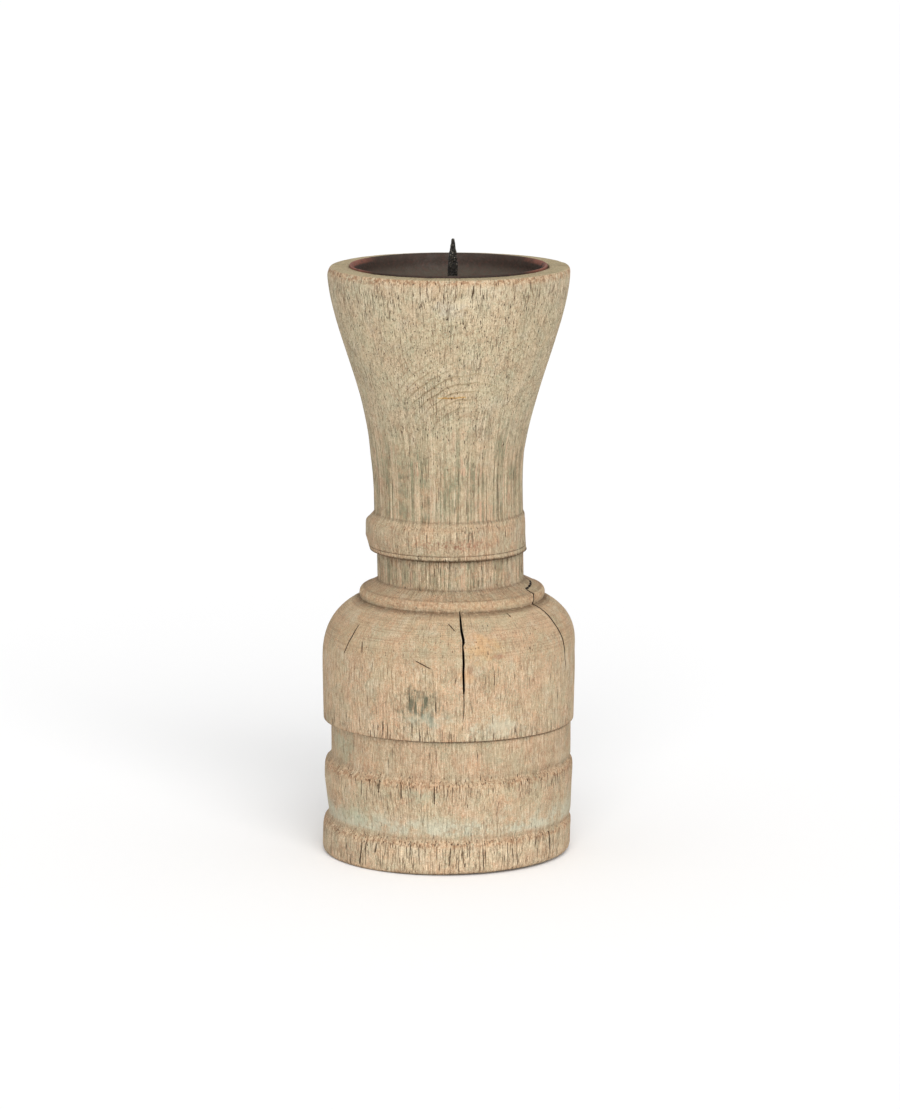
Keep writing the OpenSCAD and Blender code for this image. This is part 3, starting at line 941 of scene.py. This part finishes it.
    def lay_pores(self):
        """Brown pores in short dashes, gathered in patches."""
        net = self.net
        open_part = net.math("MULTIPLY_ADD", self.checked, 0.7, 0.3, clamp=True)
        self.pores = net.times(
            self.fibre(0.3, 3.4, 11.0, 0.6, 0.64), self.blotch(12, 9.9, 0.38, 0.54), open_part)
        self.lay((98, 72, 48), self.pores, 0.8)
        self.longer = net.times(
            self.fibre(0.4, 11.0, 23.0, 0.615, 0.65), self.blotch(15, 6.1, 0.36, 0.5),
            self.grain_part, open_part)
        self.lay((92, 68, 46), self.longer, 0.85)

    def lay_stains(self):
        """Single stains on the shoulder, and the ochre scratch across the flare."""
        for spot, across, up, ragged, size, streaked, share, tint in STAINS:
            masks = [self.patch(spot, across, up, ragged, size)]
            if streaked:
                masks.append(self.fibre(0.9, 9, 3.0, 0.34, 0.54))
            self.lay(tint, *masks, share)
        self.lay((206, 160, 88), self.line((-7.3, 231.5), (11.1, 232.0), 0.5), 0.7)
        self.lay((140, 100, 56), self.line((-4.0, 231.2), (6.0, 231.3), 0.3), 0.5)

    def lay_wear(self):
        """Edges rubbed pink and orange, partly a painted highlight along the upward edges, painted shade in
        the corners, and fine crazing.
        """
        net = self.net
        # partly wear, partly a painted highlight: pale orange along the upward-facing edges
        self.lay((220, 174, 134), self.edge, self.blotch(3.0, 5.2, 0.35, 0.55), 0.5)
        self.lay((142, 98, 66), self.edge, self.blotch(1.6, 15.2, 0.48, 0.56), 0.85)
        # painted shade: brown darkening in the creases between the rings
        painted_crease_shade = net.times(self.crease, self.blotch(1.6, 3.3, 0.25, 0.5))
        self.lay((86, 64, 44), painted_crease_shade, 0.85)
        crazing = self.group("crazing", {"Vector": self.place, "Size": 2.6 * MM, "Shift": 5.0, "Line": 0.1})
        self.lay((160, 126, 98), crazing, self.blotch(14, 46.0, 0.42, 0.58), 0.4)

    def lay_checks(self):
        """Short open checks, many near the sharp edges, then the single marks and the long splits."""
        net = self.net
        keen = net.math("MULTIPLY_ADD", self.checked, -0.1, 0.73)
        many = self.group("fibre", {
            "Vector": self.place, "Width": 0.5 * MM, "Length": 13 * MM, "Shift": 37.0, "Detail": 1.0,
            "Low": keen, "High": net.math("ADD", keen, 0.02),
        })
        self.checks = net.math("MAXIMUM", many, self.lines(CHECK_MARKS + HOLE_MARKS))
        self.lay((66, 48, 34), self.checks, 0.9)
        legs = zip(SIDE_SPLIT_END, SIDE_SPLIT_END[1:])
        side_end = self.lines([(start, end, 0.7) for start, end in legs])
        # painted shade: the long splits painted near black, for the shade deep inside them
        self.lay((20, 14, 10), net.math("MAXIMUM", net.fade(self.split, -0.0002, 0.00002), side_end))

    def shape_surface(self):
        """Roughness and fine relief: fibres, pores and checks cut in, ridges and lumps stand out."""
        net = self.net
        net.feed(self.shader.inputs["Base Color"], self.ground)
        net.feed(self.shader.inputs["Roughness"], net.math("MULTIPLY_ADD", self.fine, 0.08, 0.78))
        self.shader.inputs["Specular IOR Level"].default_value = 0.1
        relief = net.times(self.fine, -0.2)
        cuts = [(self.broad, 0.2), (self.pores, 0.5), (self.longer, 0.6), (self.checks, 1.4)]
        for mask, depth in cuts + [(self.furrow, 0.6)]:
            relief = net.math("SUBTRACT", relief, net.times(mask, depth))
        lumps = net.times(self.blotch(1.3, 15.9, 0.3, 0.7, 3.0), 0.5)
        relief = net.math("ADD", relief, lumps)
        relief = net.math("ADD", relief, net.times(net.times(self.crest, self.fluting), 0.5))
        self.emboss(relief, 0.8, 0.6 * MM)


def bleached_wood():
    wood = BleachedWood()
    wood.lay_mottle()
    wood.lay_grain()
    wood.lay_ridges()
    wood.lay_traces()
    wood.lay_pores()
    wood.lay_stains()
    wood.lay_wear()
    wood.lay_checks()
    wood.shape_surface()
    return wood.material


# ---------------------------------------------------------------- iron

def dish_iron():
    """Thin sheet iron, brown with heat and wax, with reddish rust at the lip, painted shade on the upper
    wall and painted light on the floor.
    """
    iron = Finish("dish_iron")
    net = iron.net
    height = net.split(iron.place)[2]
    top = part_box("bowl_liner")[1].z
    lip = net.fade(height, top - 2.6 * MM, top - 1.4 * MM)
    sides = net.fade(net.math("ABSOLUTE", net.split(iron.place)[0]), 0.034, 0.046)
    # painted shade and light: the upper wall darker, as in the shade under the rim, and the floor lighter,
    # as where it faces the light
    low = net.fade(height, top - 4 * MM, top - 11 * MM)
    iron.ground = net.mix(low, colour(58, 45, 37), colour(82, 73, 62))
    iron.lay((66, 54, 45), iron.blotch(7, 2.0, 0.42, 0.65), 0.5)
    iron.lay((88, 54, 44), iron.blotch(1.4, 6.0, 0.5, 0.62), 0.3)
    lip_sides = net.times(lip, sides)
    iron.lay((138, 84, 68), lip_sides, iron.blotch(3.0, 9.0, 0.25, 0.5))
    net.feed(iron.shader.inputs["Base Color"], iron.ground)
    sheen = iron.blotch(4, 4.0, 0.3, 0.7)
    net.feed(iron.shader.inputs["Roughness"], net.math("MULTIPLY_ADD", sheen, 0.2, 0.55))
    iron.shader.inputs["Metallic"].default_value = 0.15
    iron.shader.inputs["Specular IOR Level"].default_value = 0.35
    iron.emboss(iron.blotch(1.2, 1.0, 0.3, 0.7), 0.4, 0.3 * MM)
    return iron.material


def black_iron():
    """Forge-blackened iron with a dull sheen, a little rust, and painted glints, small bright spots up the
    point.
    """
    iron = Finish("black_iron")
    net = iron.net
    iron.ground = net.mix(iron.blotch(1.6, 2.0, 0.45, 0.65), colour(20, 16, 12), colour(44, 38, 31))
    iron.lay((84, 74, 60), iron.blotch(0.9, 5.0, 0.52, 0.64), 0.6)
    # painted highlight: small bright glints up the point above the rim
    rubbed_and_highlit = iron.blotch(0.7, 12.0, 0.62, 0.68, 2.0)
    iron.lay((196, 188, 170), rubbed_and_highlit, net.fade(net.split(iron.place)[2], 0.289, 0.292))
    net.feed(iron.shader.inputs["Base Color"], iron.ground)
    sheen = iron.blotch(1.1, 3.0, 0.35, 0.65)
    net.feed(iron.shader.inputs["Roughness"], net.math("MULTIPLY_ADD", sheen, 0.3, 0.3))
    iron.shader.inputs["Metallic"].default_value = 0.4
    iron.emboss(iron.blotch(1.0, 8.0, 0.3, 0.7), 0.9, 0.5 * MM)
    return iron.material


# ---------------------------------------------------------------- pieces

# How many sides the turned pieces have round their axis
COLUMN_SIDES = 396
DISH_SIDES = 180


def make_column(tree):
    tables = {"wander": WANDER, "fluted": FLUTED, "rubbed_and_highlit": RUBBED_AND_HIGHLIT, "shaded_creases": SHADED_CREASES, "checked": CHECKED}
    outline = outline_object("column_outline", column_outline(), tables, SPLITS)
    circle = circle_object("column_circle", COLUMN_SIDES, SPLITS)
    return turned_piece("column", tree, outline, circle, bleached_wood(), heel_lift=0.001)


def make_dish(tree):
    path = bowl_outline()
    reach = np.array(path)[:, 0]
    outline = outline_object("dish_outline", path)
    spike_x = sum(corner.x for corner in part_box("pricket")) / 2
    # The well follows the spike, and the mouth follows the column
    near = np.array([1 - ease(t) for t in np.clip((reach - 8) / 24, 0, 1)])
    for point, pull in zip(outline.data.vertices, near):
        point.co.y = spike_x * pull
    circle = circle_object("dish_circle", DISH_SIDES, [])
    return turned_piece("dish", tree, outline, circle, dish_iron(), sag=0.0, lumps=0.0,
                        flute_depth=0.0, nicks=0.0003, split_depth=0.0)


def spike_profile(bottom, floor, tip):
    """Radius and height from the foot of the tang up over the flange and the shank to the point."""
    profile = [(0.0, bottom), (1.0 * MM, bottom), (2.0 * MM, bottom + 1 * MM), (2.0 * MM, floor - 2 * MM)]
    profile += [(4.8 * MM, floor - 2 * MM), (5.0 * MM, floor - 1.8 * MM), (5.0 * MM, floor - 0.3 * MM)]
    profile += [(4.7 * MM, floor), (3.0 * MM, floor + 0.05 * MM), (2.6 * MM, floor + 0.3 * MM)]
    below, half = np.array(SPIKE_WIDTHS).T
    steps = 90
    for i in range(steps):
        z = floor + 0.6 * MM + (tip - floor - 0.6 * MM) * i / steps
        profile.append((np.interp((tip - z) / MM, below, half) * MM, z))
    return profile + [(0.0, tip)]


def make_spike():
    """Forged spike: round shank, four flats up the point, and the flange that holds the dish."""
    low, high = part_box("pricket")
    axis_x = (low.x + high.x) / 2
    floor = DISH_FLOOR * MM
    lean = 0.3 * MM
    sides = 40
    rings = []
    for radius, z in spike_profile(low.z, floor, high.z):
        rise = max(0.0, (z - floor) / (high.z - floor))
        flatness = 0.6 * ease(min(1.0, rise * 1.6))
        ring = []
        for k in range(sides if radius else 1):
            a = 2 * math.pi * k / sides
            facet = (a + math.radians(20)) % (math.pi / 2) - math.pi / 4
            reach = radius * (1 + (0.88 / math.cos(facet) - 1) * flatness)
            if z > floor:
                # Hammer marks
                seat = Vector((math.cos(a) * 1.6, math.sin(a) * 1.6, z * 800))
                dents = noise.noise(seat) + 0.5 * noise.noise(seat * 2.3)
                reach *= 0.99 + 0.13 * dents
            ring.append((axis_x + lean * rise + reach * math.cos(a), reach * math.sin(a), z))
        rings.append(ring)
    faces = []
    start = 0
    for lower, upper in zip(rings, rings[1:]):
        above = start + len(lower)
        for k in range(sides):
            after = (k + 1) % sides
            if len(lower) == 1:
                faces.append((start, above + after, above + k))
            elif len(upper) == 1:
                faces.append((start + k, start + after, above))
            else:
                faces.append((start + k, start + after, above + after, above + k))
        start = above
    mesh = bpy.data.meshes.new("spike")
    mesh.from_pydata([point for ring in rings for point in ring], [], faces)
    mesh.polygons.foreach_set("use_smooth", [True] * len(mesh.polygons))
    mesh.materials.append(black_iron())
    return add_object("spike", mesh)


def put_on(piece, node):
    """The piece rides on the one body and stands for its CAD node."""
    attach(piece, "root")
    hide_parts(node)


# ---------------------------------------------------------------- studio

FLOOR_HALF = 30.0
FLOOR_PALE = 0.955
# Strength of the white surround, and of the lamp, which shines from above the camera
SURROUND = 0.66
LAMP_STRENGTH = 2.45
LAMP_SPREAD = math.radians(50)
LAMP_AIM = Vector((-0.13, 0.84, -0.54))
# The camera looks down by 10.3 degrees through a long lens
CAMERA_PLACE = (0.000737, -2.3195, 0.56892)
CAMERA_TURN = (math.radians(90 - 10.3), 0, 0)
CAMERA_LENS = 155.81


def make_floor():
    mesh = bpy.data.meshes.new("floor")
    corners = [(x * FLOOR_HALF, y * FLOOR_HALF, 0) for x, y in ((-1, -1), (1, -1), (1, 1), (-1, 1))]
    mesh.from_pydata(corners, [], [(0, 1, 2, 3)])
    material = bpy.data.materials.new("floor")
    material.use_nodes = True
    shader = next(n for n in material.node_tree.nodes if n.type == "BSDF_PRINCIPLED")
    shader.inputs["Base Color"].default_value = (FLOOR_PALE, FLOOR_PALE, FLOOR_PALE, 1)
    shader.inputs["Roughness"].default_value = 0.9
    mesh.materials.append(material)
    add_object("floor", mesh)


def make_studio():
    """A white surround, and one very wide soft light from above the camera."""
    world = bpy.data.worlds.new("studio")
    world.use_nodes = True
    back = world.node_tree.nodes["Background"]
    back.inputs["Color"].default_value = (1, 1, 1, 1)
    back.inputs["Strength"].default_value = SURROUND
    bpy.context.scene.world = world
    bpy.context.scene.view_settings.view_transform = "Standard"
    lamp = bpy.data.lights.new("overhead", "SUN")
    lamp.energy = LAMP_STRENGTH
    lamp.angle = LAMP_SPREAD
    add_object("overhead", lamp).rotation_euler = LAMP_AIM.to_track_quat("-Z", "Y").to_euler()


def make_camera():
    camera = bpy.data.cameras.new("camera")
    camera.lens = CAMERA_LENS
    camera.sensor_width = 36.0
    camera.clip_end = 100.0
    holder = add_object("camera", camera)
    holder.location = CAMERA_PLACE
    holder.rotation_euler = CAMERA_TURN
    bpy.context.scene.camera = holder


make_camera()
make_studio()
make_floor()
turning = turning_tree()
put_on(make_column(turning), "turned_body")
put_on(make_dish(turning), "bowl_liner")
put_on(make_spike(), "pricket")
